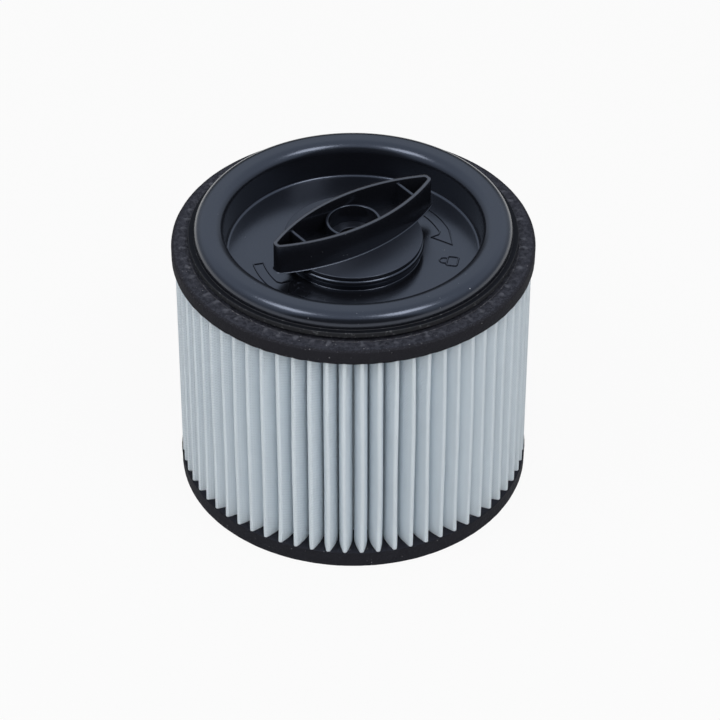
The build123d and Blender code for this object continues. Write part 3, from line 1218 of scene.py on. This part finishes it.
floor_mesh = bpy.data.meshes.new("floor")
floor_shell = bmesh.new()
bmesh.ops.create_circle(floor_shell, cap_ends=True, segments=sweep_segments, radius=sweep_radius)
floor_shell.to_mesh(floor_mesh)
floor_shell.free()
floor = bpy.data.objects.new("floor", floor_mesh)
floor.location.z = -sweep_gap
bpy.context.scene.collection.objects.link(floor)

paper = bpy.data.materials.new("white_sweep")
paper.use_nodes = True
paper.node_tree.nodes.clear()
sweep = Wiring(paper.node_tree)
sweep_rays = sweep.node("LightPath")
sweep_seen = sweep_rays["Is Camera Ray"]
for ray in ("Is Glossy Ray", "Is Transmission Ray"):
    sweep_seen = sweep_seen.maths("MAXIMUM", sweep_rays[ray])
lit_paper = sweep.node("BsdfDiffuse", None, {"Color": sweep_white})["BSDF"]
own_white = sweep.node("Emission")["Emission"]
upper_inputs = {0: sweep_seen * sweep_glow, 1: lit_paper, 2: own_white}
upper_side = sweep.node("MixShader", None, upper_inputs)["Shader"]
clear = sweep.node("BsdfTransparent")["BSDF"]
from_below = sweep.node("NewGeometry")["Backfacing"]
both_sides = sweep.node("MixShader", None, {0: from_below, 1: upper_side, 2: clear})["Shader"]
sweep.node("OutputMaterial", None, {"Surface": both_sides})
floor_mesh.materials.append(paper)
print("floor radius", sweep_radius, "m")

# %% Room
room_light = 0.36
wall_level = 0.55
wall_degrees = (8, 35)
front_level = 0.12
front_cone_degrees = (51, 39)
back_level = 0.15
back_cone_degrees = (31, 19)
mirror_tint = (0.77, 0.86, 1.0)

world = bpy.data.worlds.new("white_room")
bpy.context.scene.world = world
world.use_nodes = True
background = world.node_tree.nodes["Background"]
room = Wiring(world.node_tree)
room_rays = room.node("LightPath")
ray_direction = room.node("TexCoord")["Generated"]


def towards(direction):
    """How far a ray points in a direction, as the cosine of the angle between them."""
    inputs = {0: ray_direction, 1: direction}
    return room.node("VectorMath", {"operation": "DOT_PRODUCT"}, inputs)["Value"]


def cone_level(direction, degrees, level):
    """1 outside a cone round a direction, and the level inside it."""
    edge, inside = [math.cos(math.radians(angle)) for angle in degrees]
    return towards(direction).between(edge, inside, 1.0, level)


wall_foot, wall_top = [math.sin(math.radians(angle)) for angle in wall_degrees]
mirrored = towards((0, 0, 1)).between(wall_foot, wall_top, wall_level, 1.0)
mirrored = mirrored * cone_level((0, -1, 0), front_cone_degrees, front_level)
mirrored = mirrored * cone_level((0, 1, 0), back_cone_degrees, back_level)
room_seen = room_rays["Is Camera Ray"].maths("MAXIMUM", room_rays["Is Transmission Ray"])
in_gloss = room_rays["Is Glossy Ray"]
unseen_level = room_light + in_gloss * (mirrored - room_light)
room.fill(background.inputs["Strength"], unseen_level + room_seen * (1 - unseen_level))
room.fill(background.inputs["Color"], room.blend(in_gloss, (1, 1, 1), mirror_tint))
print("room light", room_light, "wall level", wall_level)

# %% [markdown]
# ## Lamps and camera
#
# The rim carries two long highlights on its front shoulder, left and right of the middle, and two on
# the far side. On a turned rim each lamp makes one highlight in front and one behind, so there were two
# soft boxes, high and a little to the front. A broad fill in front and a weaker one behind reach down
# into the pleats, as the light that a real sheet lets through does, and both are kept out of the gloss.
# The camera looks down at the lid through a long lens.

# %% Soft boxes
object_middle = Vector((0, 0, 0.0664))
box_distance = 1.5
box_size = 0.55
fill_distance = 1.8
fill_size = 1.3


def soft_box(name, direction, distance, size, power):
    """A square lamp in a direction from the object, facing it."""
    lamp = bpy.data.lights.new(name, "AREA")
    lamp.size = size
    lamp.energy = power
    holder = bpy.data.objects.new(name, lamp)
    holder.location = object_middle + Vector(direction).normalized() * distance
    holder.rotation_euler = (object_middle - holder.location).to_track_quat("-Z", "Y").to_euler()
    bpy.context.scene.collection.objects.link(holder)
    print(name, power, "W at", [round(value, 2) for value in holder.location])
    return holder


soft_box("soft_box_left", (-0.483, -0.277, 0.832), box_distance, box_size, power=5.5)
soft_box("soft_box_right", (0.380, -0.330, 0.860), box_distance, box_size, power=6.0)
fills = [
    soft_box("front_fill", (0, -0.80, 0.60), fill_distance, fill_size, power=9.8),
    soft_box("back_fill", (0, 0.85, 0.53), fill_distance, fill_size, power=6.5),
]
for fill in fills:
    fill.visible_glossy = False

# %% Camera
camera_place = Vector((0, -1.2274, 1.0456))
image_pixels = 720
focal_pixels = 3169
middle_pixel = (353.3, 349.35)

lens = bpy.data.cameras.new("camera")
lens.sensor_width = 36
lens.lens = focal_pixels / image_pixels * lens.sensor_width
lens.shift_x = (image_pixels / 2 - middle_pixel[0]) / image_pixels
lens.shift_y = (middle_pixel[1] - image_pixels / 2) / image_pixels
camera = bpy.data.objects.new("camera", lens)
camera.location = camera_place
camera.rotation_euler = (object_middle - camera_place).to_track_quat("-Z", "Y").to_euler()
bpy.context.scene.collection.objects.link(camera)
bpy.context.scene.camera = camera
bpy.context.scene.view_settings.view_transform = "Standard"
print("lens", round(lens.lens, 1), "mm, shift", round(lens.shift_x, 4), round(lens.shift_y, 4))
